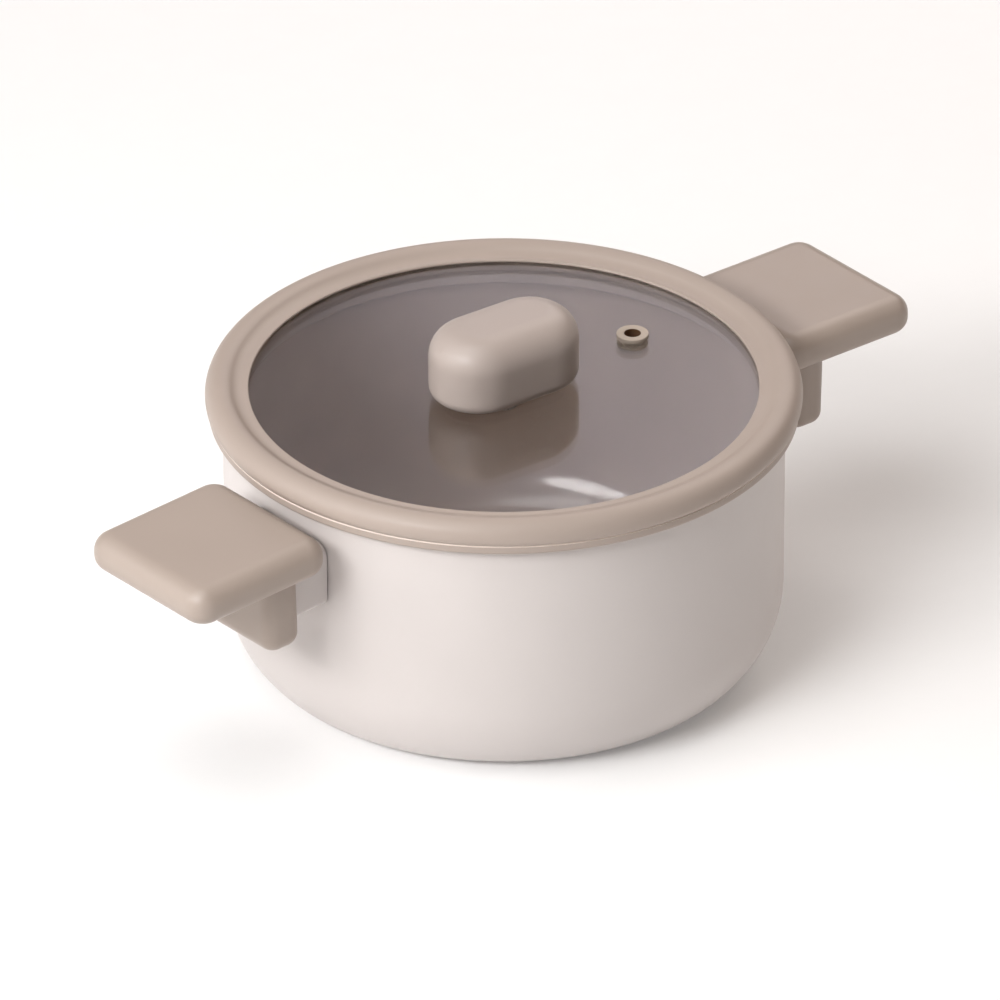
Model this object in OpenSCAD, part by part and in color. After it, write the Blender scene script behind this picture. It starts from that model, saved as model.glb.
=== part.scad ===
// Low two-handled pot with a flat glass lid. Millimetres.
// The pot stands on Z = 0 with its axis on Z; the two handles point along -X (left) and +X (right).

/* [Pot] */
// Outer radius of the pot wall at the rim
pot_r = 100; // [90:1:110]
// Amount by which the wall draws in from the rim to the top of the base corner
pot_taper = 0.6; // [0:0.1:1]
// Height of the rim above the table
pot_h = 98.5; // [90:0.5:110]
// Thickness of the side wall
wall_t = 2.6; // [2:0.1:3]
// Thickness of the floor
floor_t = 4.2; // [3.6:0.1:5]
// Radius of the upper arc of the base corner
corner_up_r = 34.7; // [30:0.1:38]
// Radius of the lower arc of the base corner
corner_low_r = 14.6; // [12:0.1:18]
// Radius of the steel disc let into the base
disc_r = 70; // [60:1:76]
// Thickness of the steel disc
disc_t = 1; // [0.8:0.1:1.4]

/* [Handles] */
// Distance from the pot axis to the inner edge of a handle plate
plate_in = 105.7; // [105:0.1:110]
// Length of a handle plate, away from the pot
plate_len = 60.9; // [52:0.1:70]
// Width of a handle plate
plate_w = 63.5; // [58:0.5:72]
// Height of the top face of a handle plate
plate_top = 96.9; // [95:0.1:99]
// Thickness of a handle plate
plate_t = 14.2; // [14:0.1:17]
// Corner radius of a handle plate, seen from above
plate_corner_r = 8.2; // [8.2:0.1:12]
// Rounding of the top edge of a handle plate
plate_top_r = 7; // [5:0.5:7.5]
// Rounding of the lower edge of a handle plate
plate_low_r = 5.8; // [3:0.1:6]
// Distance from the pot axis to the inner face of a handle leg
leg_in = 115; // [114:0.5:118]
// Thickness of a handle leg
leg_t = 15.4; // [13:0.2:17]
// Width of a handle leg
leg_w = 51; // [46:1:56]
// Height of the lower end of a handle leg
leg_low = 55; // [52:1:60]
// Angle by which the handles fall away from the level
droop = 2; // [0:0.1:3]

/* [Handle fixing] */
// Width of the flame guard between pot and handle
guard_w = 39; // [36:1:44]
// Height of the top of the flame guard
guard_top = 86.5; // [85:0.5:88]
// Height of the bottom of the flame guard
guard_low = 62; // [58:0.5:64]
// Wall thickness of the flame guard
guard_t = 2.4; // [2:0.1:3]
// Height of the handle screw
screw_z = 72; // [71:0.5:73]
// Diameter of the handle screw
screw_d = 5; // [4:0.5:6]

/* [Lid] */
// Radius of the glass disc
glass_r = 97; // [96:0.5:97.5]
// Height of the top face of the glass
glass_top = 105; // [104.5:0.1:105.2]
// Thickness of the glass
glass_t = 4; // [3.6:0.1:4.2]
// Radius of the opening in the soft ring through which the glass shows
sight_r = 90.6; // [88:0.2:92]
// Radius of the circle on which the bulge of the ring is centred
bulge_ring_r = 100.3; // [100:0.1:101]
// Radius of the bulge of the ring
bulge_r = 5.8; // [5.6:0.1:6.2]
// Height of the centre of the bulge
bulge_z = 103.2; // [103:0.1:103.6]

/* [Knob and vent] */
// Length of the knob
knob_len = 57.6; // [50:0.5:66]
// Width of the knob
knob_w = 35.4; // [32:0.5:40]
// Height of the knob
knob_h = 27; // [24:0.5:30]
// Rounding of the top edge of the knob
knob_top_r = 11; // [8:0.5:12]
// Rounding of the lower edge of the knob
knob_low_r = 4.5; // [2:0.5:6]
// Angle of the knob from the line of the handles
knob_turn = -5; // [-90:1:90]
// Distance of the steam vent from the pot axis
vent_at = 58.2; // [45:0.1:75]
// Angle of the steam vent from the line of the handles
vent_turn = -2.2; // [-20:0.1:20]
// Bore of the steam vent
vent_bore_d = 6; // [5:0.2:6.4]

/* [Hidden] */

$fn = 96;
eps = 0.01;
big = 400;

cream = "#e3dbd5";
taupe = "#bcab9f";
steel = "#b9bcc0";
brass = "#c9a24e";
aluminium = "#a9abad";

knee_a = 45;
arc_gap = corner_up_r - corner_low_r;
foot_r = pot_r - pot_taper;
knee_z = corner_low_r + arc_gap * sin(knee_a);
up_centre = [foot_r - corner_up_r, knee_z];
low_centre = [up_centre.x + arc_gap * cos(knee_a), corner_low_r];
rim_r = wall_t / 2;
disc_fit = 0.05;

droop_pivot = [100, 0, 75];
stud_d = 10;
stud_out = 111;
thread_d = screw_d - 0.6;
bore_play = 0.4;
socket_play = 0.1;
guard_corner_r = 6;
guard_fit = 0.1;
counter_depth = 6.5;
counter_d = 11;
washer_t = 1;
washer_d = 10;
screw_head_d = 9;
screw_head_h = 3.4;
screw_tip = 103;
hex_d = 3.4;
leg_corner_r = 5.5;
leg_foot_r = 5;
leg_head_r = 1;

seat_gap = 0.3;
skirt_low = 92.5;
skirt_out = pot_r - wall_t - 0.7;
skirt_in = skirt_out - 3;
lip_top = 106.6;
lip_edge_r = 0.6;
tab_edge_r = 1;
slot_fit = 0.05;
apron_out = 104.7;
apron_low = 97.1;
apron_in = pot_r + 0.6;
groove_z = 100;
groove_deep = 0.5;
glass_low = glass_top - glass_t;
glass_hole_d = 8;

shoulder_d = 9.6;
shoulder_h = 0.5;
flange_d = 11.6;
flange_h = 1.7;

seat_h = 1.3;
seat_inset = 5;
knob_low = glass_top + seat_h;
insert_d = 9;
insert_h = 12;
insert_groove_d = 7.8;
gasket_d = 16;
gasket_t = 1;
knob_washer_d = 14;
knob_screw_d = 5;
knob_screw_tip = knob_low + 9;
knob_head_d = 10;
knob_head_h = 2.6;

// Filled half section of the pot, every face set inwards by t
module pot_section(t) {
    polygon([[0, t], [low_centre.x, t], low_centre, up_centre, [foot_r - t, knee_z],
             [pot_r - t, pot_h], [0, pot_h]]);
    translate(low_centre)
        circle(r = corner_low_r - t);
    intersection() {
        translate(up_centre)
            circle(r = corner_up_r - t);
        translate(up_centre)
            polygon([[0, 0], [big, 0], [big, -big]]);
    }
}

// Rectangle w wide and h tall standing on Y = 0, top corners rt and lower corners rb
module edge_section(w, h, rt, rb) {
    translate([-w / 2, rb])
        square([w, h - rt - rb]);
    translate([-w / 2 + rb, 0])
        square([w - 2 * rb, h - rt]);
    translate([-w / 2 + rt, rb])
        square([w - 2 * rt, h - rb]);
    for (side = [-1, 1]) {
        translate([side * (w / 2 - rt), h - rt])
            circle(r = rt);
        translate([side * (w / 2 - rb), rb])
            circle(r = rb);
    }
}

// Slab l by w and h tall standing on Z = 0, plan corners rc, top edge rt, lower edge rb
module rounded_slab(l, w, h, rc, rt, rb) {
    rotate([90, 0, 0])
        linear_extrude(height = w - 2 * rc, center = true)
            edge_section(l, h, rt, rb);
    rotate([90, 0, 90])
        linear_extrude(height = l - 2 * rc, center = true)
            edge_section(w, h, rt, rb);
    for (sx = [-1, 1])
        for (sy = [-1, 1])
            translate([sx * (l / 2 - rc), sy * (w / 2 - rc), 0])
                rotate_extrude()
                    intersection() {
                        edge_section(2 * rc, h, rt, rb);
                        square([rc, h]);
                    }
}

// Long round-ended block, l by w and h tall standing on Z = 0
module pill(l, w, h, rt, rb) {
    span = l - w;
    rotate([90, 0, 90])
        linear_extrude(height = span, center = true)
            edge_section(w, h, rt, rb);
    for (side = [-1, 1])
        translate([side * span / 2, 0, 0])
            rotate_extrude()
                intersection() {
                    edge_section(w, h, rt, rb);
                    square([w / 2, h]);
                }
}

// Places the right-hand fixing at the right (side 0) or turned half round at the left (side 1)
module at_side(side) {
    rotate([0, 0, 180 * side])
        translate(droop_pivot)
            rotate([0, droop, 0])
                translate(-droop_pivot)
                    children();
}

// Cylinder of diameter d along X between two distances from the pot axis
module bar_x(d, from, to) {
    translate([from, 0, screw_z])
        rotate([0, 90, 0])
            cylinder(d = d, h = to - from);
}

module pot_body() {
    color(cream)
        difference() {
            rotate_extrude()
                difference() {
                    union() {
                        intersection() {
                            pot_section(0);
                            square([big, pot_h - rim_r]);
                        }
                        translate([pot_r - rim_r, pot_h - rim_r])
                            circle(r = rim_r);
                    }
                    intersection() {
                        translate([0, floor_t - wall_t])
                            pot_section(wall_t);
                        square([pot_r - wall_t, big]);
                    }
                    translate([0, pot_h - rim_r])
                        square([pot_r - 2 * rim_r, big]);
                }
            translate([0, 0, -eps])
                cylinder(r = disc_r, h = disc_t + eps);
        }
}

module base_disc() {
    rings = 4;
    ring_gap = 14;
    ring_deep = 0.3;
    ring_wide = 0.8;
    color(steel)
        difference() {
            cylinder(r = disc_r - disc_fit, h = disc_t);
            for (i = [1 : rings])
                rotate_extrude()
                    translate([i * ring_gap, -eps])
                        square([ring_wide, ring_deep + eps]);
        }
}

module stud(side) {
    color(aluminium)
        difference() {
            at_side(side)
                difference() {
                    bar_x(stud_d, pot_r - 3, stud_out);
                    bar_x(thread_d, screw_tip - 1, stud_out + 1);
                }
            cylinder(r = pot_r, h = big);
        }
}

module guard_block(grow) {
    w = guard_w + 2 * grow;
    h = guard_top - guard_low + 2 * grow;
    translate([pot_r - 8, 0, guard_low - grow])
        rotate([90, 0, 90])
            linear_extrude(height = leg_in - pot_r + 8)
                edge_section(w, h, guard_corner_r + grow, 2 + grow);
}

module flame_guard(side) {
    end_t = 3;
    hollow_w = guard_w - 2 * guard_t;
    hollow_h = guard_top - guard_low - 2 * guard_t;
    color(cream)
        difference() {
            at_side(side)
                difference() {
                    guard_block(0);
                    translate([0, 0, guard_low + guard_t])
                        rotate([90, 0, 90])
                            linear_extrude(height = leg_in - end_t)
                                edge_section(hollow_w, hollow_h, guard_corner_r - guard_t, 1);
                    bar_x(screw_d + bore_play, leg_in - end_t - 1, leg_in + 1);
                }
            cylinder(r = pot_r + guard_fit, h = big);
        }
}

module handle(side) {
    leg_h = plate_top - plate_low_r - leg_low;
    bore_face = leg_in + leg_t;
    color(taupe)
        at_side(side)
            difference() {
                union() {
                    translate([plate_in + plate_len / 2, 0, plate_top - plate_t])
                        rounded_slab(plate_len, plate_w, plate_t, plate_corner_r,
                                     plate_top_r, plate_low_r);
                    translate([leg_in + leg_t / 2, 0, leg_low])
                        rounded_slab(leg_t, leg_w, leg_h, leg_corner_r, leg_head_r, leg_foot_r);
                }
                guard_block(socket_play);
                bar_x(screw_d + bore_play, leg_in - 1, bore_face + 1);
                bar_x(counter_d, bore_face - counter_depth, bore_face + 1);
            }
}

module handle_washer(side) {
    face = leg_in + leg_t - counter_depth;
    color(steel)
        at_side(side)
            difference() {
                bar_x(washer_d, face, face + washer_t);
                bar_x(screw_d + bore_play, face - 1, face + washer_t + 1);
            }
}

module handle_screw(side) {
    head = leg_in + leg_t - counter_depth + washer_t;
    color(steel)
        at_side(side)
            difference() {
                union() {
                    bar_x(screw_d, stud_out, head + eps);
                    bar_x(thread_d - 0.1, screw_tip, stud_out + eps);
                    bar_x(screw_head_d, head, head + screw_head_h);
                }
                translate([head + screw_head_h - 2, 0, screw_z])
                    rotate([0, 90, 0])
                        cylinder(d = hex_d, h = 3, $fn = 6);
            }
}

module lid_glass() {
    edge_r = 1;
    color("#8f8a88", 0.45)
        difference() {
            rotate_extrude()
                intersection() {
                    translate([0, glass_low])
                        edge_section(2 * glass_r, glass_t, edge_r, edge_r);
                    square([big, big]);
                }
            translate([0, 0, glass_low - 1])
                cylinder(d = glass_hole_d, h = glass_t + 2);
            rotate([0, 0, vent_turn])
                translate([vent_at, 0, glass_low - 1])
                    cylinder(d = glass_hole_d, h = glass_t + 2);
        }
}

// Points of an arc round centre c, from angle a1 to angle a2, in n steps
function arc(c, r, a1, a2, n) =
    [for (i = [0 : n]) c + r * [cos(a1 + (a2 - a1) * i / n), sin(a1 + (a2 - a1) * i / n)]];

// Points round the lower end of an upright tab, from its outer to its inner face
function tab_end(r_in, r_out, low) =
    concat(arc([r_out - tab_edge_r, low + tab_edge_r], tab_edge_r, 0, -90, 6),
           arc([r_in + tab_edge_r, low + tab_edge_r], tab_edge_r, -90, -180, 6));

// Half section of the soft ring that grips the glass and seats on the rim
module ring_section() {
    seat_z = pot_h + seat_gap;
    shelf_z = seat_z + 0.2;
    shelf_in = sight_r + 1.5;
    hollow_r = 2.2;
    hollow_z = lip_top - 0.3 + hollow_r;
    hollow_x = bulge_ring_r - sqrt(pow(bulge_r + hollow_r, 2) - pow(hollow_z - bulge_z, 2));
    meet_a = atan2(hollow_z - bulge_z, hollow_x - bulge_ring_r);
    under_r = 4.2;
    under_a = -10;
    under_c = [bulge_ring_r, bulge_z] + (bulge_r - under_r) * [cos(under_a), sin(under_a)];
    groove_a = asin((groove_z - under_c.y) / under_r);
    groove_r = apron_out - groove_deep;
    slot_r = glass_r + slot_fit;
    slot_low = glass_low - slot_fit;
    slot_top = glass_top + slot_fit;
    lip = arc([sight_r + lip_edge_r, lip_top - lip_edge_r], lip_edge_r, 180, 95, 6);
    hollow = arc([hollow_x, hollow_z], hollow_r, 267, meet_a + 180, 8);
    bulge = arc([bulge_ring_r, bulge_z], bulge_r, meet_a - 4, under_a + 1, 30);
    under = arc(under_c, under_r, under_a, groove_a, 12);
    groove = [[groove_r, groove_z], [groove_r, groove_z - 0.3], [apron_out, groove_z - 0.3]];
    apron = tab_end(apron_in, apron_out, apron_low);
    seat = [[apron_in, seat_z], [skirt_out, seat_z]];
    skirt = tab_end(skirt_in, skirt_out, skirt_low);
    shelf = [[skirt_in, shelf_z], [shelf_in, shelf_z], [shelf_in, slot_low]];
    slot = [[slot_r, slot_low], [slot_r, slot_top], [sight_r, slot_top]];
    polygon(concat(lip, hollow, bulge, under, groove, apron, seat, skirt, shelf, slot));
}

module lid_ring() {
    color(taupe)
        rotate_extrude()
            ring_section();
}

module vent_grommet() {
    low_flange_d = 11;
    low_flange_h = 1.2;
    neck_d = glass_hole_d - 0.1;
    flange_z = glass_top + shoulder_h;
    color(taupe)
        rotate([0, 0, vent_turn])
            translate([vent_at, 0, 0])
                difference() {
                    union() {
                        translate([0, 0, glass_low - low_flange_h])
                            cylinder(d = low_flange_d, h = low_flange_h);
                        translate([0, 0, glass_low - eps])
                            cylinder(d = neck_d, h = glass_t + 2 * eps);
                        translate([0, 0, glass_top])
                            cylinder(d = shoulder_d, h = shoulder_h + eps);
                        translate([0, 0, flange_z])
                            cylinder(d = flange_d, h = flange_h);
                    }
                    translate([0, 0, glass_low - 5])
                        cylinder(d = vent_bore_d, h = 20);
                }
}

module knob() {
    color(taupe)
        difference() {
            translate([0, 0, knob_low])
                rotate([0, 0, knob_turn])
                    pill(knob_len, knob_w, knob_h, knob_top_r, knob_low_r);
            translate([0, 0, knob_low - 1])
                cylinder(d = insert_d + 0.1, h = insert_h + 1.1);
        }
}

module knob_insert() {
    color(brass)
        translate([0, 0, knob_low])
            difference() {
                cylinder(d = insert_d, h = insert_h);
                rotate_extrude()
                    translate([insert_groove_d / 2, insert_h / 2 - 1])
                        square([5, 2]);
                translate([0, 0, -1])
                    cylinder(d = knob_screw_d - 0.6, h = insert_h);
            }
}

module knob_seat() {
    color("#8d7c70")
        difference() {
            translate([0, 0, glass_top])
                rotate([0, 0, knob_turn])
                    pill(knob_len - 2 * seat_inset, knob_w - 2 * seat_inset, seat_h, 0.3, 0.3);
            translate([0, 0, glass_top - 1])
                cylinder(d = knob_screw_d + bore_play, h = seat_h + 2);
        }
}

module ring_plate(d, t, z) {
    translate([0, 0, z])
        difference() {
            cylinder(d = d, h = t);
            translate([0, 0, -1])
                cylinder(d = knob_screw_d + bore_play, h = t + 2);
        }
}

module knob_gasket() {
    color("#8d7c70")
        ring_plate(gasket_d, gasket_t, glass_low - gasket_t);
}

module knob_washer() {
    color(steel)
        ring_plate(knob_washer_d, washer_t, glass_low - gasket_t - washer_t);
}

module knob_screw() {
    under = glass_low - gasket_t - washer_t;
    slot_w = 1.2;
    color(steel)
        difference() {
            union() {
                translate([0, 0, under - knob_head_h])
                    cylinder(d = knob_head_d, h = knob_head_h);
                translate([0, 0, under - eps])
                    cylinder(d = knob_screw_d, h = knob_low - under + eps);
                translate([0, 0, knob_low - eps])
                    cylinder(d = knob_screw_d - 0.7, h = knob_screw_tip - knob_low);
            }
            for (turn = [0, 90])
                rotate([0, 0, turn])
                    translate([-3, -slot_w / 2, under - knob_head_h - 1])
                        cube([6, slot_w, 2.4]);
        }
}

pot_body();
base_disc();
stud(1);  // stud_left
stud(0);  // stud_right
flame_guard(1);  // flame_guard_left
flame_guard(0);  // flame_guard_right
handle(1);  // handle_left
handle(0);  // handle_right
handle_washer(1);  // handle_washer_left
handle_washer(0);  // handle_washer_right
handle_screw(1);  // handle_screw_left
handle_screw(0);  // handle_screw_right
lid_glass();
lid_ring();
vent_grommet();
knob();
knob_insert();
knob_seat();
knob_gasket();
knob_washer();
knob_screw();
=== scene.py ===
import math

import bmesh
import bpy
from mathutils import Matrix, Vector


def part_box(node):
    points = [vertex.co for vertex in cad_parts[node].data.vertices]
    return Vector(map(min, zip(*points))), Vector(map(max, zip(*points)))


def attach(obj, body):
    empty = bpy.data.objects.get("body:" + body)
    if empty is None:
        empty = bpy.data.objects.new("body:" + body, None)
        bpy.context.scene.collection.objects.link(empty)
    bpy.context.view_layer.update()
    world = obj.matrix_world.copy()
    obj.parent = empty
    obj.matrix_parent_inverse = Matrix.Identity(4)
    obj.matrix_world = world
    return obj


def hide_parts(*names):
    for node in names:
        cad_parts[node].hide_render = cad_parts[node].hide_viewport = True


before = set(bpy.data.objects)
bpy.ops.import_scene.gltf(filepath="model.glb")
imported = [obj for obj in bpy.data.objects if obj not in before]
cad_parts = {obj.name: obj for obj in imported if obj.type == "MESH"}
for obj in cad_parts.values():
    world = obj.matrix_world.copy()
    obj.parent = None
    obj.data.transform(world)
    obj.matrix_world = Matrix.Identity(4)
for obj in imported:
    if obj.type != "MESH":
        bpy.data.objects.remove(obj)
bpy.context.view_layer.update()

MM = 0.001


# ---------------------------------------------------------------- places, from the frame

def top_of(node):
    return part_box(node)[1].z


def bottom_of(node):
    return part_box(node)[0].z


def reach_of(node):
    """How far a round node on the pot's axis reaches from it."""
    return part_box(node)[1].x


POT_R = reach_of("pot_body")
RIM_Z = top_of("pot_body")
DISC_R = reach_of("base_disc")
DISC_TOP = top_of("base_disc")
GLASS_TOP = top_of("lid_glass")
GLASS_LOW = bottom_of("lid_glass")
GLASS_R = reach_of("lid_glass")
RING_R = reach_of("lid_ring")
RING_TOP = top_of("lid_ring")
RING_LOW = bottom_of("lid_ring")

# Pot
WALL = 2.6 * MM
FLOOR = 4.2 * MM
TAPER = 0.6 * MM
CORNER_UP_R = 34.7 * MM
CORNER_LOW_R = 14.6 * MM

# Fixings
FIT = 0.05 * MM
SHANK_HOLE_R = 2.7 * MM
HEAD_HOLE_R = 5.5 * MM
HEAD_HOLE_DEEP = 6.5 * MM
CUT_PAST = 2 * MM

# Soft ring
SIGHT_R = 90.6 * MM
BULGE_R = 5.8 * MM
LIP_TOP = GLASS_TOP + 1.4 * MM
VALLEY_Z = LIP_TOP - 0.08 * MM
APRON_R = RING_R - 1.15 * MM
APRON_LOW = RIM_Z - 1.65 * MM

# Handles, in the frame of the right-hand one before it droops
DROOP = math.radians(2)
DROOP_PIVOT = Vector((POT_R, 0, 75 * MM))
PLATE_IN = 105.7 * MM
PLATE_LONG = 60.9 * MM
PLATE_WIDE = 63.5 * MM
PLATE_TOP = 96.9 * MM
PLATE_LOW = 82.7 * MM
PLATE_CORNER_R = 8.2 * MM
PLATE_TOP_R = 7 * MM
PLATE_LOW_R = 5.8 * MM
LEG_IN = 115 * MM
LEG_DEEP = 15.4 * MM
LEG_WIDE = 51 * MM
LEG_LOW = 55 * MM
GUARD_WIDE = 39 * MM
GUARD_TOP = 86.5 * MM
GUARD_LOW = 62 * MM
GUARD_TOP_R = 6 * MM
GUARD_LOW_R = 2 * MM
GUARD_GAP = 0.5 * MM
SCREW_Z = 72 * MM

# Lid
KNOB_TURN = math.radians(-5)
GLASS_HOLE_R = 4 * MM
SILICONE_PRESS = 0.02 * MM

# Meshes: steps round the pot, round a small hole, round a bore and along an arc
TURNS = 240
SMALL_TURNS = 96
BORE_TURNS = 64
ARC_STEPS = 10
# How far a support point stands from the corner whose shading it holds
SUPPORT = 0.5 * MM
# Edges that bend by less than this many degrees are shaded smooth
SMOOTH_UNDER = 40


# ---------------------------------------------------------------- outlines

def arc(centre, radius, start, end, steps=ARC_STEPS):
    """Points of an arc round centre, between two angles in degrees."""
    points = []
    for i in range(steps + 1):
        a = math.radians(start + (end - start) * i / steps)
        points.append(Vector((centre[0] + radius * math.cos(a), centre[1] + radius * math.sin(a))))
    return points


def rounded_corner(before, at, after, radius, steps):
    """Points of the arc of that radius which touches both sides of a corner."""
    one, two = (before - at).normalized(), (after - at).normalized()
    half = one.angle(two) / 2
    middle = (one + two).normalized()
    centre = at + middle * (radius / math.sin(half))
    first = at + one * (radius / math.tan(half)) - centre
    last = at + two * (radius / math.tan(half)) - centre
    sweep = math.atan2(first.x * last.y - first.y * last.x, first.dot(last))
    points = []
    for i in range(steps + 1):
        a = sweep * i / steps
        points.append(centre + Vector((first.x * math.cos(a) - first.y * math.sin(a),
                                       first.x * math.sin(a) + first.y * math.cos(a))))
    return points


def rounded_outline(corners, closed=True, steps=ARC_STEPS, support=0):
    """Points along a line of corners (x, y, radius). With support, each straight side also gets
    a point that far from each end, which keeps its shading flat."""
    most_share, least_side = 0.3, 1e-9
    spots = [Vector(c[:2]) for c in corners]
    count = len(spots)
    parts = []
    for i, corner in enumerate(corners):
        if corner[2] and (closed or 0 < i < count - 1):
            following = spots[(i + 1) % count]
            parts.append(rounded_corner(spots[i - 1], spots[i], following, corner[2], steps))
        else:
            parts.append([spots[i]])
    points = []
    for i, part in enumerate(parts):
        points += part
        if support and (closed or i < count - 1):
            side = parts[(i + 1) % count][0] - part[-1]
            share = min(support / max(side.length, least_side), most_share)
            points += [part[-1] + side * share, part[-1] + side * (1 - share)]
    return points


def rectangle(half_x, half_y, radius):
    return [(half_x, -half_y, radius), (half_x, half_y, radius),
            (-half_x, half_y, radius), (-half_x, -half_y, radius)]


# ---------------------------------------------------------------- meshes

def finish_mesh(bm, name, smooth_under=SMOOTH_UNDER):
    bmesh.ops.remove_doubles(bm, verts=bm.verts, dist=1e-7)
    bmesh.ops.dissolve_degenerate(bm, edges=bm.edges, dist=1e-8)
    bmesh.ops.recalc_face_normals(bm, faces=bm.faces)
    mesh = bpy.data.meshes.new(name)
    bm.to_mesh(mesh)
    bm.free()
    obj = bpy.data.objects.new(name, mesh)
    bpy.context.scene.collection.objects.link(obj)
    soften(obj, smooth_under)
    return obj


def soften(obj, smooth_under=SMOOTH_UNDER):
    obj.data.polygons.foreach_set("use_smooth", [True] * len(obj.data.polygons))
    obj.data.set_sharp_from_angle(angle=math.radians(smooth_under))


def lathe(name, profile, closed, turns=TURNS, finish_of=None):
    """A profile of (radius, height) turned round Z. finish_of gives a material index for each
    stretch between two points of the profile."""
    bm = bmesh.new()
    rings = []
    for point in profile:
        r, z = point[0], point[1]
        if r < 1e-7:
            rings.append([bm.verts.new((0, 0, z))])
            continue
        ring = []
        for i in range(turns):
            a = 2 * math.pi * i / turns
            ring.append(bm.verts.new((r * math.cos(a), r * math.sin(a), z)))
        rings.append(ring)
    last = len(rings) if closed else len(rings) - 1
    for i in range(last):
        low, high = rings[i], rings[(i + 1) % len(rings)]
        for j in range(turns):
            k = (j + 1) % turns
            if len(low) == 1:
                face = bm.faces.new((low[0], high[j], high[k]))
            elif len(high) == 1:
                face = bm.faces.new((low[j], high[0], low[k]))
            else:
                face = bm.faces.new((low[j], low[k], high[k], high[j]))
            if finish_of:
                face.material_index = finish_of(i)
    return finish_mesh(bm, name)


def loft(name, rings):
    """Closed rings of 3-D points joined in order, with a flat face over each end."""
    bm = bmesh.new()
    made = [[bm.verts.new(p) for p in ring] for ring in rings]
    for low, high in zip(made, made[1:]):
        for j in range(len(low)):
            k = (j + 1) % len(low)
            bm.faces.new((low[j], low[k], high[k], high[j]))
    bm.faces.new(list(reversed(made[0])))
    bm.faces.new(made[-1])
    return finish_mesh(bm, name)


def slab(name, half_x, half_y, corner_r, low, high, low_r, top_r, flare=0):
    """Slab with rounded plan corners and rounded edges. With flare, its head spreads out in a
    hollow curve of that radius, as a fillet does where it meets a flat face."""
    least_r = 0.1 * MM
    flare_steps = 6
    into_plate = 1 * MM
    rings = []

    def ring(inset, z):
        radius = max(corner_r - inset, least_r)
        outline = rounded_outline(rectangle(half_x - inset, half_y - inset, radius),
                                  support=SUPPORT)
        rings.append([(p.x, p.y, z) for p in outline])

    ring(low_r + SUPPORT, low)
    for p in arc((low_r, low + low_r), low_r, 270, 180):
        ring(p.x, p.y)
    ring(0, low + low_r + SUPPORT)
    if flare:
        ring(0, high - flare - SUPPORT)
        for p in arc((-flare, high - flare), flare, 0, 90, flare_steps):
            ring(p.x, p.y)
        ring(-flare, high + into_plate)
    else:
        ring(0, high - top_r - SUPPORT)
        for p in arc((top_r, high - top_r), top_r, 180, 90):
            ring(p.x, p.y)
        ring(top_r + SUPPORT, high)
    return loft(name, rings)


def block_x(name, start, end, low, high, wide, top_r, low_r, grow=0):
    """Block along X whose section has its own top and lower corner radii."""
    half = wide / 2 + grow
    corners = [(half, low - grow, low_r + grow), (half, high + grow, top_r + grow),
               (-half, high + grow, top_r + grow), (-half, low - grow, low_r + grow)]
    outline = rounded_outline(corners, support=SUPPORT)
    return loft(name, [[(x, p.x, p.y) for p in outline] for x in (start, end)])


def along_x(obj, height):
    """Lays a piece turned round Z down along X, at that height."""
    obj.data.transform(Matrix.Translation((0, 0, height)) @ Matrix.Rotation(math.pi / 2, 4, "Y"))
    return obj


def boolean(obj, tool, operation, smooth_under=SMOOTH_UNDER):
    modifier = obj.modifiers.new("work", "BOOLEAN")
    modifier.operation = operation
    modifier.object = tool
    modifier.solver = "EXACT"
    graph = bpy.context.evaluated_depsgraph_get()
    mesh = bpy.data.meshes.new_from_object(obj.evaluated_get(graph))
    obj.modifiers.clear()
    obj.data = mesh
    bpy.data.objects.remove(tool)
    soften(obj, smooth_under)


def place(obj, matrix):
    obj.data.transform(matrix)
    return obj


def settle(obj, node):
    """Moves a mesh so that the middle of its box is the middle of the CAD node's box."""
    points = [v.co for v in obj.data.vertices]
    low = Vector([min(p[i] for p in points) for i in range(3)])
    high = Vector([max(p[i] for p in points) for i in range(3)])
    node_low, node_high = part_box(node)
    obj.data.transform(Matrix.Translation((node_low + node_high - low - high) / 2))
    return obj


# ---------------------------------------------------------------- materials

def principled(name, roughness, **sockets):
    mat = bpy.data.materials.new(name)
    mat.use_nodes = True
    shader = mat.node_tree.nodes["Principled BSDF"]
    shader.inputs["Roughness"].default_value = roughness
    for socket, value in sockets.items():
        shader.inputs[socket.replace("_", " ").title().replace("Ior", "IOR")].default_value = value
    return mat, mat.node_tree, shader


def noise(tree, coordinates, scale, detail=2.0, roughness=0.5):
    node = tree.nodes.new("ShaderNodeTexNoise")
    node.inputs["Scale"].default_value = scale
    node.inputs["Detail"].default_value = detail
    node.inputs["Roughness"].default_value = roughness
    tree.links.new(coordinates, node.inputs["Vector"])
    return node.outputs["Fac"]


def spread(tree, value, low, high):
    """The value's usual range stretched to run from low to high."""
    usual_low, usual_high = 0.3, 0.7
    node = tree.nodes.new("ShaderNodeMapRange")
    node.inputs["From Min"].default_value = usual_low
    node.inputs["From Max"].default_value = usual_high
    node.inputs["To Min"].default_value = low
    node.inputs["To Max"].default_value = high
    tree.links.new(value, node.inputs["Value"])
    return node.outputs["Result"]


def mixed(tree, factor, one, two):
    node = tree.nodes.new("ShaderNodeMix")
    node.data_type = "RGBA"
    tree.links.new(factor, node.inputs["Factor"])
    node.inputs["A"].default_value = (*one, 1)
    node.inputs["B"].default_value = (*two, 1)
    return node.outputs["Result"]


def bump(tree, height, depth, before=None):
    node = tree.nodes.new("ShaderNodeBump")
    node.inputs["Strength"].default_value = 1
    node.inputs["Distance"].default_value = depth
    tree.links.new(height, node.inputs["Height"])
    if before is not None:
        tree.links.new(before, node.inputs["Normal"])
    return node.outputs["Normal"]


def object_coordinates(tree):
    return tree.nodes.new("ShaderNodeTexCoord").outputs["Object"]


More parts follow.
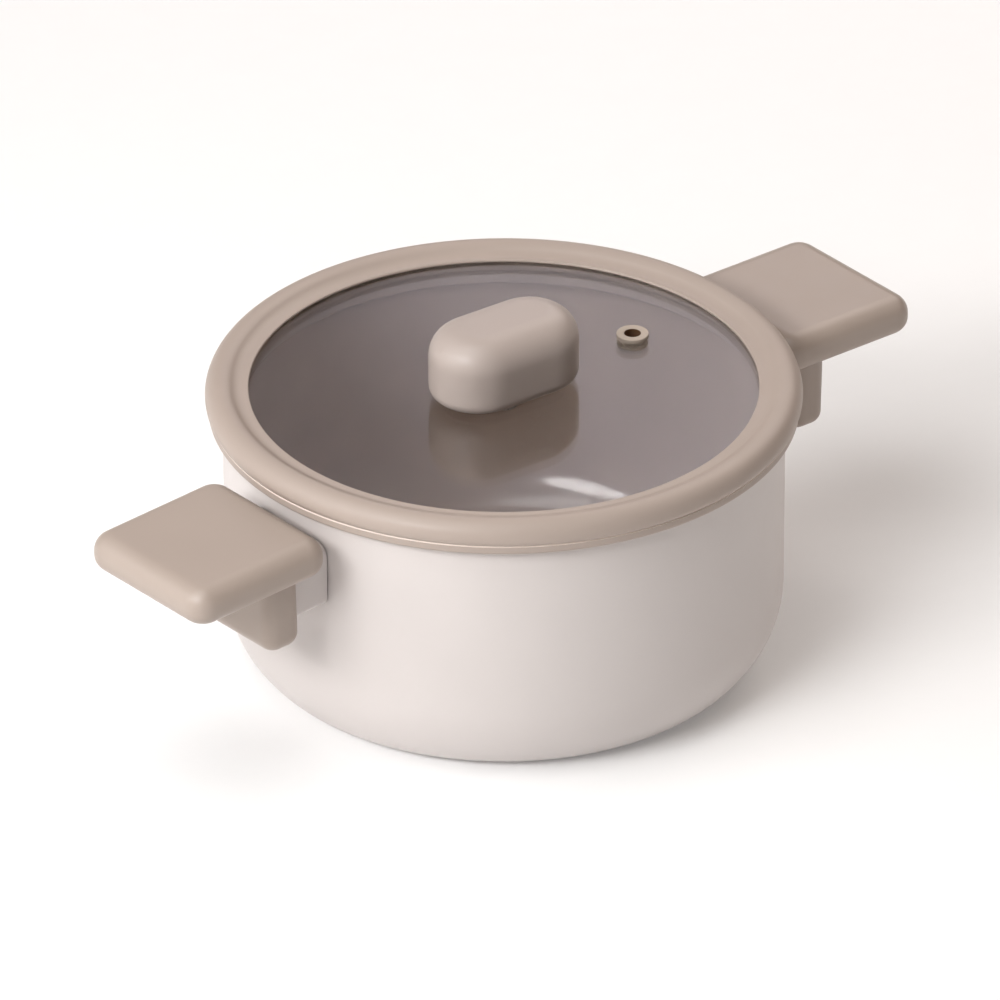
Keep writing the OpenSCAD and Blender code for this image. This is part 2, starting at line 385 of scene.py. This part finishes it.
def shaded(colour, by):
    return tuple(c * by for c in colour)


def grained(name, colour, roughness, cloud, cloud_scale, grain_scale, grain_depth,
            wave_depth=0, rough_spread=0.04, **sockets):
    """A dyed or coated surface: a faint cloudiness in the colour, a fine grain in relief, and,
    with wave_depth, the slow waviness that paint has when it levels out."""
    mat, tree, shader = principled(name, roughness, **sockets)
    spot = object_coordinates(tree)
    clouds = spread(tree, noise(tree, spot, cloud_scale, 3), 0, 1)
    tree.links.new(mixed(tree, clouds, shaded(colour, 1 - cloud), shaded(colour, 1 + cloud)),
                   shader.inputs["Base Color"])
    patches = noise(tree, spot, cloud_scale * 4, 2)
    tree.links.new(spread(tree, patches, roughness - rough_spread, roughness + rough_spread),
                   shader.inputs["Roughness"])
    normal = bump(tree, noise(tree, spot, grain_scale, 2, 0.6), grain_depth)
    if wave_depth:
        normal = bump(tree, noise(tree, spot, grain_scale / 12, 1), wave_depth, normal)
    tree.links.new(normal, shader.inputs["Normal"])
    return mat


def cream_coating():
    return grained("cream_coating", (0.64, 0.59, 0.57), 0.42, cloud=0.012, cloud_scale=25,
                   grain_scale=2600, grain_depth=0.006 * MM, wave_depth=0.02 * MM,
                   specular_ior_level=0.4)


def grey_coating():
    return grained("grey_coating", (0.46, 0.37, 0.315), 0.15, cloud=0.05, cloud_scale=40,
                   grain_scale=1500, grain_depth=0.006 * MM, wave_depth=0.003 * MM,
                   specular_ior_level=0.6)


def taupe_moulding():
    return grained("taupe_moulding", (0.385, 0.315, 0.271), 0.37, cloud=0.015, cloud_scale=30,
                   grain_scale=3000, grain_depth=0.012 * MM, specular_ior_level=0.45)


# Painted light: the handles' taupe moulding made lighter for the knob, standing in for light the
# glass throws up onto its sides.
def taupe_moulding_painted_lighter():
    return grained("taupe_moulding_painted_lighter", (0.43, 0.362, 0.328), 0.4, cloud=0.015, cloud_scale=30,
                   grain_scale=3000, grain_depth=0.012 * MM, specular_ior_level=0.45)


def taupe_silicone():
    return grained("taupe_silicone", (0.405, 0.333, 0.29), 0.44, cloud=0.015, cloud_scale=30,
                   grain_scale=3500, grain_depth=0.01 * MM, specular_ior_level=0.3)


def vent_silicone():
    return grained("vent_silicone", (0.50, 0.42, 0.35), 0.5, cloud=0.015, cloud_scale=60,
                   grain_scale=3500, grain_depth=0.01 * MM, specular_ior_level=0.3)


# Painted highlight: a pale silicone on the ring's bead, standing in for the light line that the ledge
# under the groove catches.
def bead_painted_highlight():
    return grained("bead_painted_highlight", (0.76, 0.66, 0.59), 0.42, cloud=0.015, cloud_scale=60,
                   grain_scale=3500, grain_depth=0.005 * MM, specular_ior_level=0.5)


# Painted shade: near-black brown for the grommet's bore and the gap under its flange.
def painted_bore_and_gap_shade():
    return grained("painted_bore_and_gap_shade", (0.12, 0.06, 0.03), 0.55, cloud=0.03, cloud_scale=60,
                   grain_scale=3500, grain_depth=0.01 * MM, specular_ior_level=0.3)


# Dark silicone of the knob's seat and gasket; on the guards' end faces at the wall it is painted
# shade that darkens the gap.
def dark_silicone():
    return grained("dark_silicone", (0.16, 0.12, 0.1), 0.6, cloud=0.03, cloud_scale=60,
                   grain_scale=3000, grain_depth=0.01 * MM, specular_ior_level=0.3)


def clear_glass():
    mat, _, shader = principled("clear_glass", 0.0, transmission_weight=1.0, ior=1.45)
    shader.inputs["Base Color"].default_value = (0.99, 0.985, 0.985, 1)
    return mat


def spun_metal(name, colour, roughness, ring_scale=4000, depth=0.004 * MM):
    """Metal turned round the pot's axis, with fine rings in its sheen."""
    mat, tree, shader = principled(name, roughness, metallic=1.0)
    spot = object_coordinates(tree)
    flat = tree.nodes.new("ShaderNodeVectorMath")
    flat.operation = "MULTIPLY"
    flat.inputs[1].default_value = (1, 1, 0)
    tree.links.new(spot, flat.inputs[0])
    radius = tree.nodes.new("ShaderNodeVectorMath")
    radius.operation = "LENGTH"
    tree.links.new(flat.outputs["Vector"], radius.inputs[0])
    rings = tree.nodes.new("ShaderNodeTexNoise")
    rings.noise_dimensions = "1D"
    rings.inputs["Scale"].default_value = ring_scale
    rings.inputs["Detail"].default_value = 3
    tree.links.new(radius.outputs["Value"], rings.inputs["W"])
    tree.links.new(mixed(tree, rings.outputs["Fac"], shaded(colour, 0.85), shaded(colour, 1.1)),
                   shader.inputs["Base Color"])
    tree.links.new(spread(tree, rings.outputs["Fac"], roughness - 0.06, roughness + 0.1),
                   shader.inputs["Roughness"])
    tree.links.new(bump(tree, rings.outputs["Fac"], depth), shader.inputs["Normal"])
    return mat


def plain_metal(name, colour, roughness):
    """Metal with a fine scratched sheen and no direction."""
    mat, tree, shader = principled(name, roughness, metallic=1.0)
    spot = object_coordinates(tree)
    scratches = noise(tree, spot, 900, 4, 0.7)
    tree.links.new(mixed(tree, scratches, shaded(colour, 0.85), shaded(colour, 1.1)),
                   shader.inputs["Base Color"])
    tree.links.new(spread(tree, scratches, roughness - 0.06, roughness + 0.08),
                   shader.inputs["Roughness"])
    tree.links.new(bump(tree, scratches, 0.003 * MM), shader.inputs["Normal"])
    return mat


CREAM = cream_coating()
GREY = grey_coating()
TAUPE = taupe_moulding()
TAUPE_PAINTED_LIGHTER = taupe_moulding_painted_lighter()
SOFT_TAUPE = taupe_silicone()
VENT_TAUPE = vent_silicone()
BORE_AND_GAP_SHADE = painted_bore_and_gap_shade()
BEAD_PAINTED_HIGHLIGHT = bead_painted_highlight()
DARK_SILICONE_AND_GAP_SHADE = dark_silicone()
GLASS = clear_glass()
STEEL_DISC = spun_metal("spun_steel", (0.56, 0.55, 0.54), 0.32)
STEEL = plain_metal("fastener_steel", (0.55, 0.55, 0.55), 0.3)
ALUMINIUM = plain_metal("aluminium", (0.62, 0.62, 0.63), 0.38)
BRASS = plain_metal("brass", (0.62, 0.44, 0.18), 0.3)


def finished(obj, body, slot, *materials, stands_for=()):
    numbers = [face.material_index for face in obj.data.polygons]
    obj.data.materials.clear()
    for mat in materials:
        obj.data.materials.append(mat)
    if len(materials) > 1:
        obj.data.polygons.foreach_set("material_index", numbers)
    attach(obj, body)
    if stands_for:
        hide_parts(*stands_for)
    return obj


def repaint(node, mat):
    """Gives a CAD node that stays on show its material."""
    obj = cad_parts[node]
    for slot in obj.material_slots:
        slot.material = mat
    if not obj.material_slots:
        obj.data.materials.append(mat)


# ---------------------------------------------------------------- pot

def pot_wall():
    """Pot in one piece: cream outside and round the rim, grey inside."""
    foot_r = POT_R - TAPER
    gap = CORNER_UP_R - CORNER_LOW_R
    up = Vector((foot_r - CORNER_UP_R, CORNER_LOW_R + gap * math.sin(math.pi / 4)))
    low = Vector((up.x + gap * math.cos(math.pi / 4), CORNER_LOW_R))
    rim_r = WALL / 2
    rim = Vector((POT_R - rim_r, RIM_Z - rim_r))
    raised = Vector((0, FLOOR - WALL))
    edge = 0.3 * MM
    recess_r = DISC_R + FIT
    coat_end = 150
    centre_r = 5 * MM
    low_steps, up_steps = 14, 22
    profile = [Vector((0, DISC_TOP)), Vector((recess_r, DISC_TOP)), Vector((recess_r, edge)),
               Vector((recess_r + edge, 0)), Vector((recess_r + edge + SUPPORT, 0)),
               Vector((low.x - SUPPORT, 0))]
    profile += arc(low, CORNER_LOW_R, 270, 315, low_steps)
    profile += arc(up, CORNER_UP_R, 315, 360, up_steps)[1:]
    profile += [Vector((foot_r, up.y + SUPPORT)), Vector((POT_R, rim.y - SUPPORT))]
    profile += arc(rim, rim_r, 0, coat_end, 12)
    outside = len(profile) - 1
    profile += arc(rim, rim_r, coat_end, 180, 3)[1:]
    profile += [Vector((POT_R - WALL, rim.y - SUPPORT)),
                Vector((foot_r - WALL, up.y + raised.y + SUPPORT))]
    profile += arc(up + raised, CORNER_UP_R - WALL, 360, 315, up_steps)
    profile += arc(low + raised, CORNER_LOW_R - WALL, 315, 270, low_steps)[1:]
    profile += [Vector((low.x - SUPPORT, FLOOR)), Vector((centre_r, FLOOR)), Vector((0, FLOOR))]
    pot = lathe("pot", profile, closed=False, finish_of=lambda i: 0 if i < outside else 1)
    finished(pot, "pot", "cream_coating", CREAM, GREY, stands_for=["pot_body"])


def base():
    """Steel disc let into the base, with its four pressed rings."""
    repaint("base_disc", STEEL_DISC)


# ---------------------------------------------------------------- handles

def side_matrix(side):
    """Takes the right-hand fixing to its place: right for side 0, left for side 1."""
    return (Matrix.Rotation(math.pi * side, 4, "Z") @ Matrix.Translation(DROOP_PIVOT)
            @ Matrix.Rotation(DROOP, 4, "Y") @ Matrix.Translation(-DROOP_PIVOT))


def handle(side, label):
    """One moulding: flat plate, leg with a fillet under the plate, socket and screw hole."""
    leg_corner_r, leg_foot_r, leg_fillet_r = 5.5 * MM, 5 * MM, 1.2 * MM
    socket_start = POT_R - 10 * MM
    socket_fit = 0.1 * MM
    bevel = 0.5 * MM
    middle = Matrix.Translation((PLATE_IN + PLATE_LONG / 2, 0, 0))
    plate = place(slab("handle_" + label + "_moulding", PLATE_LONG / 2, PLATE_WIDE / 2,
                       PLATE_CORNER_R, PLATE_LOW, PLATE_TOP, PLATE_LOW_R, PLATE_TOP_R), middle)
    leg = slab("leg", LEG_DEEP / 2, LEG_WIDE / 2, leg_corner_r, LEG_LOW, PLATE_LOW, leg_foot_r, 0,
               flare=leg_fillet_r)
    place(leg, Matrix.Translation((LEG_IN + LEG_DEEP / 2, 0, 0)))
    boolean(plate, leg, "UNION")
    boolean(plate, block_x("socket", socket_start, LEG_IN, GUARD_LOW, GUARD_TOP, GUARD_WIDE,
                           GUARD_TOP_R, GUARD_LOW_R, grow=socket_fit), "DIFFERENCE")
    start = LEG_IN - CUT_PAST
    face = LEG_IN + LEG_DEEP
    step = face - HEAD_HOLE_DEEP
    bore = [(0, start), (SHANK_HOLE_R, start), (SHANK_HOLE_R, step), (HEAD_HOLE_R, step),
            (HEAD_HOLE_R, face - bevel), (HEAD_HOLE_R + bevel, face),
            (HEAD_HOLE_R + bevel, face + CUT_PAST), (0, face + CUT_PAST)]
    boolean(plate, along_x(lathe("bore", bore, closed=False, turns=BORE_TURNS), SCREW_Z),
            "DIFFERENCE")
    settle(place(plate, side_matrix(side)), "handle_" + label)
    finished(plate, "pot", "taupe_moulding", TAUPE, stands_for=["handle_" + label])


def guard(side, label):
    """Hollow cream bracket between wall and handle, cut to the curve of the wall; its end face at the
    wall gets painted shade.
    """
    wall, end_wall = 2.4 * MM, 3 * MM
    shell_start, hollow_start = POT_R - 8 * MM, POT_R - 12 * MM
    hollow_low_r = 1 * MM
    end = LEG_IN - end_wall
    body = block_x("flame_guard_" + label + "_shell", shell_start, LEG_IN, GUARD_LOW,
                   GUARD_TOP, GUARD_WIDE, GUARD_TOP_R, GUARD_LOW_R)
    boolean(body, block_x("hollow", hollow_start, end, GUARD_LOW + wall, GUARD_TOP - wall,
                          GUARD_WIDE - 2 * wall, GUARD_TOP_R - wall, hollow_low_r), "DIFFERENCE")
    bore = [(0, end - CUT_PAST), (SHANK_HOLE_R, end - CUT_PAST),
            (SHANK_HOLE_R, LEG_IN + CUT_PAST), (0, LEG_IN + CUT_PAST)]
    boolean(body, along_x(lathe("bore", bore, closed=False, turns=BORE_TURNS), SCREW_Z),
            "DIFFERENCE")
    place(body, side_matrix(side))
    near = POT_R + GUARD_GAP
    drum = [(0, 0), (near, 0), (near, 2 * RIM_Z), (0, 2 * RIM_Z)]
    boolean(body, lathe("drum", drum, closed=False), "DIFFERENCE")
    # Painted shade: the end face that meets the wall gets the dark material, so the gap reads as a
    # dark line.
    for face in body.data.polygons:
        face.material_index = 1 if face.center.xy.length < near + FIT else 0
    finished(body, "pot", "cream_coating", CREAM, DARK_SILICONE_AND_GAP_SHADE, stands_for=["flame_guard_" + label])


def fixings(label):
    for node, mat in (("stud", ALUMINIUM), ("handle_washer", STEEL), ("handle_screw", STEEL)):
        repaint(node + "_" + label, mat)


# ---------------------------------------------------------------- lid

def ring():
    """Soft ring: lip over the glass, hollow curve, bulge, groove, apron and inner skirt."""
    bulge = Vector((RING_R - BULGE_R, RING_TOP - BULGE_R))
    hollow_r = 7 * MM
    hollow_z = VALLEY_Z + hollow_r
    reach = BULGE_R + hollow_r
    hollow = Vector((bulge.x - math.sqrt(reach ** 2 - (hollow_z - bulge.y) ** 2), hollow_z))
    meet = math.degrees(math.atan2(hollow.y - bulge.y, hollow.x - bulge.x))
    under_r = 2.9 * MM
    under_a = -10
    under = bulge + (BULGE_R - under_r) * Vector((math.cos(math.radians(under_a)),
                                                  math.sin(math.radians(under_a))))
    groove_z = RIM_Z + 1.7 * MM
    groove_r = APRON_R - 0.3 * MM
    crease = 0.02 * MM
    bead_z = groove_z - 0.34 * MM
    groove_a = math.degrees(math.asin((groove_z - under.y) / under_r))
    lip_edge = 0.55 * MM
    undercut_r = SIGHT_R + 1.2 * MM
    undercut_z = GLASS_TOP + 0.55 * MM
    apron_in = POT_R + 0.6 * MM
    seat_z = RIM_Z + 0.3 * MM
    skirt_out = POT_R - WALL - 0.7 * MM
    skirt_in = skirt_out - 3 * MM
    shelf_in = SIGHT_R + 1.5 * MM
    shelf_z = seat_z + 0.2 * MM
    slot_r = GLASS_R - SILICONE_PRESS
    slot_low, slot_top = GLASS_LOW + SILICONE_PRESS, GLASS_TOP - SILICONE_PRESS
    full, soft, small, fine = 1 * MM, 0.5 * MM, 0.3 * MM, 0.1 * MM
    near_groove, bead_margin = 0.01 * MM, 0.15 * MM

    profile = arc((SIGHT_R + lip_edge, LIP_TOP - lip_edge), lip_edge, 180, 85, 8)
    profile += arc(hollow, hollow_r, 268, meet + 180, 12)
    profile += arc(bulge, BULGE_R, meet, under_a, 36)[1:]
    profile += arc(under, under_r, under_a, groove_a, 10)[1:]
    groove = [(groove_r, groove_z, 0), (groove_r, groove_z - crease, 0)]
    apron = [(APRON_R, bead_z, fine), (APRON_R, APRON_LOW, full), (apron_in, APRON_LOW, full)]
    inside = [(apron_in, seat_z, small), (skirt_out, seat_z, small), (skirt_out, RING_LOW, full),
              (skirt_in, RING_LOW, full), (skirt_in, shelf_z, small), (shelf_in, shelf_z, soft),
              (shelf_in, slot_low, 2 * fine)]
    slot = [(slot_r, slot_low, 0), (slot_r, slot_top, 0), (undercut_r, slot_top, 0),
            (undercut_r, undercut_z, 0), (SIGHT_R, undercut_z, fine),
            (SIGHT_R, LIP_TOP - lip_edge, 0)]
    profile += rounded_outline(groove + apron + inside + slot, closed=False, steps=5,
                               support=2 * fine)

    def shade(i):
        """Material 1, a painted highlight, on the bead, which runs from the groove to the apron."""
        one, two = profile[i], profile[(i + 1) % len(profile)]
        outside = min(one.x, two.x) > groove_r - near_groove
        on_bead = bead_z - bead_margin < min(one.y, two.y) < groove_z - crease / 2
        return 1 if outside and on_bead else 0

    # The bead's pale silicone is a painted highlight.
    piece = lathe("lid_ring_soft", profile, closed=True, finish_of=shade)
    finished(piece, "lid", "taupe_silicone", SOFT_TAUPE, BEAD_PAINTED_HIGHLIGHT, stands_for=["lid_ring"])


def glass():
    """Glass disc with a ground edge and its two holes."""
    edge = 1 * MM
    hole_edge_angle = 30
    profile = rounded_outline([(0, GLASS_LOW, 0), (GLASS_R, GLASS_LOW, edge),
                               (GLASS_R, GLASS_TOP, edge), (0, GLASS_TOP, 0)],
                              closed=False, support=SUPPORT)
    pane = lathe("lid_pane", profile, closed=False)
    low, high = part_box("vent_grommet")
    vent = (low + high) / 2
    hole = [(0, 0), (GLASS_HOLE_R, 0), (GLASS_HOLE_R, 2 * RIM_Z), (0, 2 * RIM_Z)]
    for x, y in ((0, 0), (vent.x, vent.y)):
        drill = lathe("drill", hole, closed=False, turns=SMALL_TURNS)
        place(drill, Matrix.Translation((x, y, 0)))
        boolean(pane, drill, "DIFFERENCE", hole_edge_angle)
    finished(pane, "lid", "lid_glass", GLASS, stands_for=["lid_glass"])


def grommet():
    """Small soft grommet with a through hole, with painted shade inside the bore and in the gap under
    its flange.
    """
    low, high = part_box("vent_grommet")
    middle = (low + high) / 2
    bore = 3 * MM
    neck = GLASS_HOLE_R + SILICONE_PRESS
    foot = 4.8 * MM
    low_flange = 5.5 * MM
    flange = (high.x - low.x) / 2
    seat_low, seat_top = GLASS_LOW + SILICONE_PRESS, GLASS_TOP - SILICONE_PRESS
    gap_z = GLASS_TOP + 0.5 * MM
    edge, small, fine = 0.3 * MM, 0.15 * MM, 0.1 * MM
    profile = rounded_outline([
        (bore, low.z, 2 * fine), (low_flange, low.z, edge), (low_flange, seat_low, fine),
        (neck, seat_low, 0), (neck, seat_top, 0), (foot, seat_top, 0), (foot, gap_z, small),
        (flange, gap_z, edge), (flange, high.z, edge), (bore, high.z, edge)],
        steps=5, support=small)

    def shade(i):
        """Material 1, painted shade, in the bore and in the gap under the flange."""
        one, two = profile[i], profile[(i + 1) % len(profile)]
        in_bore = max(one.x, two.x) < bore + FIT
        under_flange = seat_top - SILICONE_PRESS < min(one.y, two.y) \
            and max(one.y, two.y) < gap_z + FIT
        in_gap = under_flange and max(one.x, two.x) < foot + 2 * fine
        return 1 if in_bore or in_gap else 0

    piece = lathe("vent_grommet_soft", profile, closed=True, turns=SMALL_TURNS, finish_of=shade)
    place(piece, Matrix.Translation((middle.x, middle.y, 0)))
    finished(piece, "lid", "taupe_silicone", VENT_TAUPE, BORE_AND_GAP_SHADE, stands_for=["vent_grommet"])


def knob():
    """Round-ended block with a large top rounding and a hole for its insert."""
    low_r, top_r = 4.5 * MM, 11 * MM
    flat_end = 0.01 * MM
    low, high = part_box("knob")
    box_x, box_y = high.x - low.x, high.y - low.y
    c, s = math.cos(KNOB_TURN), abs(math.sin(KNOB_TURN))
    span = (box_x - box_y) / (c - s)
    wide = box_y - span * s
    body = slab("knob_block", (span + wide) / 2, wide / 2, wide / 2 - flat_end, low.z, high.z,
                low_r, top_r)
    hole_r = reach_of("knob_insert") + FIT
    hole_low, hole_top = low.z - 1 * MM, top_of("knob_insert") + 2 * FIT
    profile = [(0, hole_low), (hole_r, hole_low), (hole_r, hole_top), (0, hole_top)]
    boolean(body, lathe("hole", profile, closed=False, turns=BORE_TURNS), "DIFFERENCE")
    place(body, Matrix.Rotation(KNOB_TURN, 4, "Z"))
    settle(body, "knob")
    # The knob gets the lighter copy of the taupe moulding, which is painted light.
    finished(body, "lid", "taupe_moulding", TAUPE_PAINTED_LIGHTER, stands_for=["knob"])


def knob_fixing():
    for node, mat in (("knob_insert", BRASS), ("knob_seat", DARK_SILICONE_AND_GAP_SHADE), ("knob_gasket", DARK_SILICONE_AND_GAP_SHADE),
                      ("knob_washer", STEEL), ("knob_screw", STEEL)):
        repaint(node, mat)


# ---------------------------------------------------------------- studio

WHITE = (1, 1, 1)
COOL = (0.92, 0.88, 0.98)
WARM = (1.0, 0.9, 0.84)
AMBER = (1.0, 0.84, 0.72)


def camera():
    """The photograph's view: a long lens, to the left of the front and above."""
    turn = math.radians(-40.28)
    rise = math.radians(29.74)
    roll = math.radians(-0.16)
    distance = 10.0
    frame_wide = 355.9 * MM
    aim = Vector((0, 0, 40 * MM))
    aim_left, aim_up = 1.54 * MM, 16.73 * MM
    back = Vector((math.sin(turn) * math.cos(rise), -math.cos(turn) * math.cos(rise), math.sin(rise)))
    level = Vector((math.cos(turn), math.sin(turn), 0))
    upright = back.cross(level)
    right = level * math.cos(roll) + upright * math.sin(roll)
    up = upright * math.cos(roll) - level * math.sin(roll)
    data = bpy.data.cameras.new("camera")
    data.sensor_width = 36
    data.lens = data.sensor_width * distance / frame_wide
    data.clip_end = 100
    obj = bpy.data.objects.new("camera", data)
    at = aim - right * aim_left + up * aim_up + back * distance
    turned = Matrix((right, up, back)).transposed().to_4x4()
    obj.matrix_world = Matrix.Translation(at) @ turned
    bpy.context.scene.collection.objects.link(obj)
    bpy.context.scene.camera = obj


def lamp(name, azimuth, elevation, distance, size, power, colour=WHITE):
    """Rectangular lamp that faces the pot. Azimuth 0 is in front (-Y), and 90 is on the right."""
    data = bpy.data.lights.new(name, "AREA")
    data.shape = "RECTANGLE"
    data.size, data.size_y = size
    data.energy = power
    data.color = colour
    obj = bpy.data.objects.new(name, data)
    a, e = math.radians(azimuth), math.radians(elevation)
    out = Vector((math.sin(a) * math.cos(e), -math.cos(a) * math.cos(e), math.sin(e)))
    target = Vector((0, 0, 60 * MM))
    obj.location = target + out * distance
    obj.rotation_euler = out.to_track_quat("Z", "Y").to_euler()
    bpy.context.scene.collection.objects.link(obj)
    return data


def ramp(tree, value, start, end, low=0.0, high=1.0):
    """A soft step in the value between start and end."""
    node = tree.nodes.new("ShaderNodeMapRange")
    node.interpolation_type = "SMOOTHSTEP"
    for name, number in (("From Min", start), ("From Max", end), ("To Min", low), ("To Max", high)):
        node.inputs[name].default_value = number
    tree.links.new(value, node.inputs["Value"])
    return node.outputs["Result"]


def product(tree, one, two):
    node = tree.nodes.new("ShaderNodeMath")
    node.operation = "MULTIPLY"
    tree.links.new(one, node.inputs[0])
    tree.links.new(two, node.inputs[1])
    return node.outputs["Value"]


def softbox(name, azimuth, elevation, distance, size, power, colour=WHITE):
    """Lamp behind a cloth that is bright in the middle and fades out to its edges."""
    mean_strength = 0.4
    middle = (0.5, 0.5, 0)
    edge, full = 0.5, 0.2
    data = lamp(name, azimuth, elevation, distance, size, power / mean_strength, colour)
    data.use_nodes = True
    tree = data.node_tree
    spot = tree.nodes.new("ShaderNodeNewGeometry").outputs["Parametric"]
    away = tree.nodes.new("ShaderNodeVectorMath")
    away.operation = "DISTANCE"
    away.inputs[1].default_value = middle
    tree.links.new(spot, away.inputs[0])
    tree.links.new(ramp(tree, away.outputs["Value"], edge, full),
                   tree.nodes["Emission"].inputs["Strength"])


def sheen_card():
    """Graded card that the flat glass mirrors: it gives the pane its soft, uneven veil."""
    azimuth, elevation, distance = 139.7, 29.7, 0.9
    wide, high = 0.4, 0.3
    power = 0.62
    slant = (wide, 0.9 * high, 0)
    data = lamp("sheen_card", azimuth, elevation, distance, (wide, high), power, COOL)
    data.use_nodes = True
    tree = data.node_tree
    spot = tree.nodes.new("ShaderNodeNewGeometry").outputs["Parametric"]
    split = tree.nodes.new("ShaderNodeSeparateXYZ")
    tree.links.new(spot, split.inputs["Vector"])
    slanted = tree.nodes.new("ShaderNodeVectorMath")
    slanted.operation = "DOT_PRODUCT"
    slanted.inputs[1].default_value = slant
    tree.links.new(spot, slanted.inputs[0])
    across = ramp(tree, slanted.outputs["Value"], 0.44, 0.332, 0.4, 1.0)
    along = ramp(tree, split.outputs["Y"], 0.5, 0.34, 0.6, 1.0)
    tree.links.new(product(tree, across, along), tree.nodes["Emission"].inputs["Strength"])


def floor():
    """Pale paper that glows, a painted light, faintly near the pot and more strongly far from it."""
    mat, tree, shader = principled("floor_paper", 0.75, specular_ior_level=0.1)
    spot = object_coordinates(tree)
    fibres = noise(tree, spot, 60, 4)
    tree.links.new(mixed(tree, fibres, shaded(WHITE, 0.84), shaded(WHITE, 0.87)),
                   shader.inputs["Base Color"])
    away = tree.nodes.new("ShaderNodeVectorMath")
    away.operation = "LENGTH"
    tree.links.new(spot, away.inputs[0])
    near, far = 0.4, 2.0
    near_glow, far_glow = 0.12, 0.75
    # Painted light: the paper glows, faintly near the pot and more strongly far from it, and this
    # glow also lights the pot.
    shader.inputs["Emission Color"].default_value = (1, 1, 1, 1)
    tree.links.new(ramp(tree, away.outputs["Value"], near, far, near_glow, far_glow),
                   shader.inputs["Emission Strength"])
    half, low = 20.0, -0.05 * MM
    mesh = bpy.data.meshes.new("floor")
    mesh.from_pydata([(-half, -half, low), (half, -half, low), (half, half, low),
                      (-half, half, low)], [], [(0, 1, 2, 3)])
    obj = bpy.data.objects.new("floor", mesh)
    obj.data.materials.append(mat)
    bpy.context.scene.collection.objects.link(obj)


def surround():
    """Faint, warm light from all round, which fills the shadows."""
    fill = 0.075
    world = bpy.data.worlds.new("studio")
    bpy.context.scene.world = world
    world.use_nodes = True
    sky = world.node_tree.nodes["Background"]
    sky.inputs["Color"].default_value = (*AMBER, 1)
    sky.inputs["Strength"].default_value = fill


def studio():
    camera()
    floor()
    surround()
    softbox("key", -79, 35, 1.6, (1.25, 0.55), 17)
    softbox("left", -115, 25, 1.6, (1.5, 1.5), 8.6)
    softbox("top", -90, 68, 1.5, (1.5, 1.5), 9.3)
    softbox("right", 60, 40, 1.6, (1.5, 1.5), 2.4, AMBER)
    softbox("back", 110, 40, 1.6, (1.5, 1.5), 8.8, WARM)
    sheen_card()
    bpy.context.scene.view_settings.view_transform = "Standard"


# ---------------------------------------------------------------- build

pot_wall()
base()
for number, hand in enumerate(("right", "left")):
    handle(number, hand)
    guard(number, hand)
    fixings(hand)
ring()
glass()
grommet()
knob()
knob_fixing()
studio()
